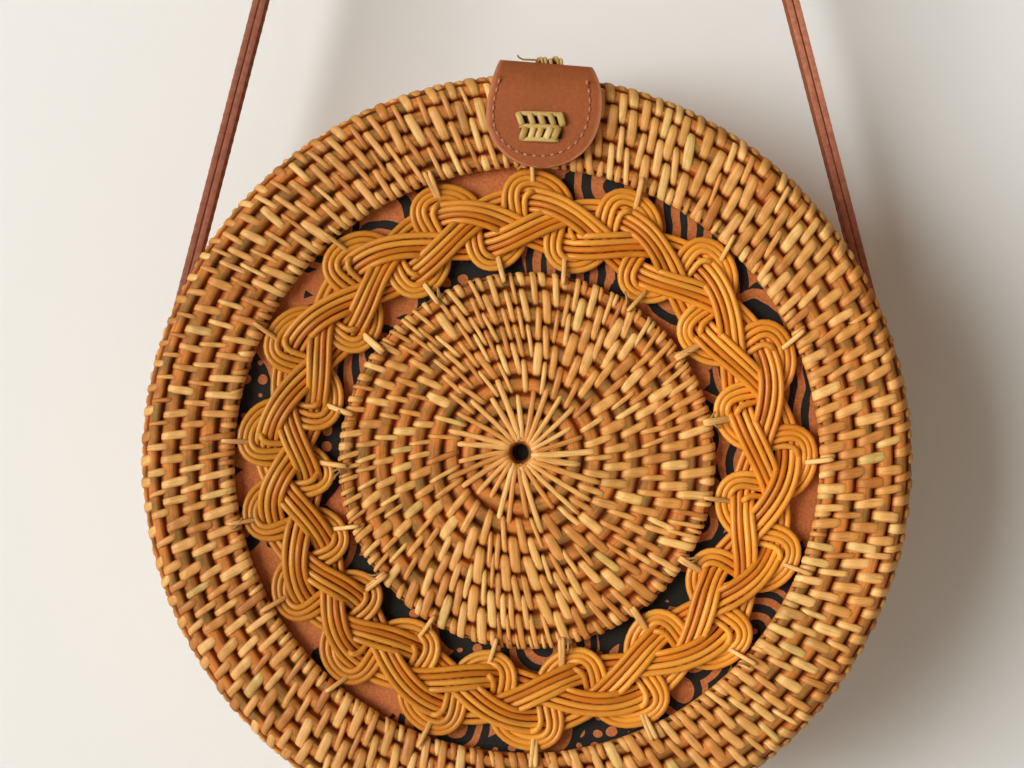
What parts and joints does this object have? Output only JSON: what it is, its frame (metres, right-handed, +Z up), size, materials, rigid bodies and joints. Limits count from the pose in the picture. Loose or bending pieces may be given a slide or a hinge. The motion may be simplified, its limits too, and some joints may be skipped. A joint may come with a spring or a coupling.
{
  "type": "rattan bag",
  "caption": "Round shoulder bag of coiled cane in two lined halves hinged at the foot, with an openwork plaited ring, a leather tongue with a magnet catch, and a long leather strap.",
  "frame": {"origin": "the middle of the underside of the strap's crown, where the strap rests on a shoulder, hand or hook", "axes": "+Z up, -Y out of the front face with the plaited ring, X across the bag"},
  "size_m": [0.2088, 0.0761, 0.4597],
  "materials": {
    "woven_cane": "smoked split cane over cane cores, satin",
    "amber_cane": "smooth amber cane, semi-gloss",
    "split_cane": "pale split cane, matte",
    "tab_leather": "tan leather, stitched edge",
    "strap_leather": "brown leather, raw edges",
    "lining_cloth": "printed cotton, black and terracotta",
    "magnet_steel": "plated"
  },
  "bodies": {
    "strap": {"strap_inner_layer": "strap_leather", "strap_outer_layer": "strap_leather"},
    "back_half": {"back_shell": "woven_cane", "back_lining_panel": "lining_cloth", "back_lining_band": "lining_cloth", "back_hinge_loop": "woven_cane", "hinge_pin": "woven_cane", "back_keeper": "tab_leather", "back_keeper_tie": "split_cane", "catch_magnet_lower": "magnet_steel", "strap_lashing_left": "split_cane", "strap_lashing_right": "split_cane"},
    "front_half": {"front_rim_shell": "woven_cane", "front_disc": "woven_cane", "plait_looping_cane": "amber_cane", "plait_running_cane": "amber_cane", "front_lining_panel": "lining_cloth", "front_lining_band": "lining_cloth", "front_hinge_loop_left": "woven_cane", "front_hinge_loop_right": "woven_cane", "front_tab": "tab_leather", "front_tab_tie": "split_cane", "top_tab_tie": "split_cane"},
    "tongue": {"closure_tongue": "tab_leather", "catch_magnet_upper": "magnet_steel"}
  },
  "joints": [
    {"name": "bag_swing", "type": "hinge", "parent": "strap", "child": "back_half", "pos_m": [0, 0, -0.32496], "axis": [1, 0, 0], "range_deg": [-30, 30]},
    {"name": "front_opening", "type": "hinge", "parent": "back_half", "child": "front_half", "pos_m": [0, -0.005, -0.4531], "axis": [1, 0, 0], "range_deg": [0, 120]},
    {"name": "tongue_fold", "type": "hinge", "parent": "front_half", "child": "tongue", "pos_m": [0.004, -0.021, -0.2489], "axis": [1, 0, 0], "range_deg": [0, 100]}
  ]
}
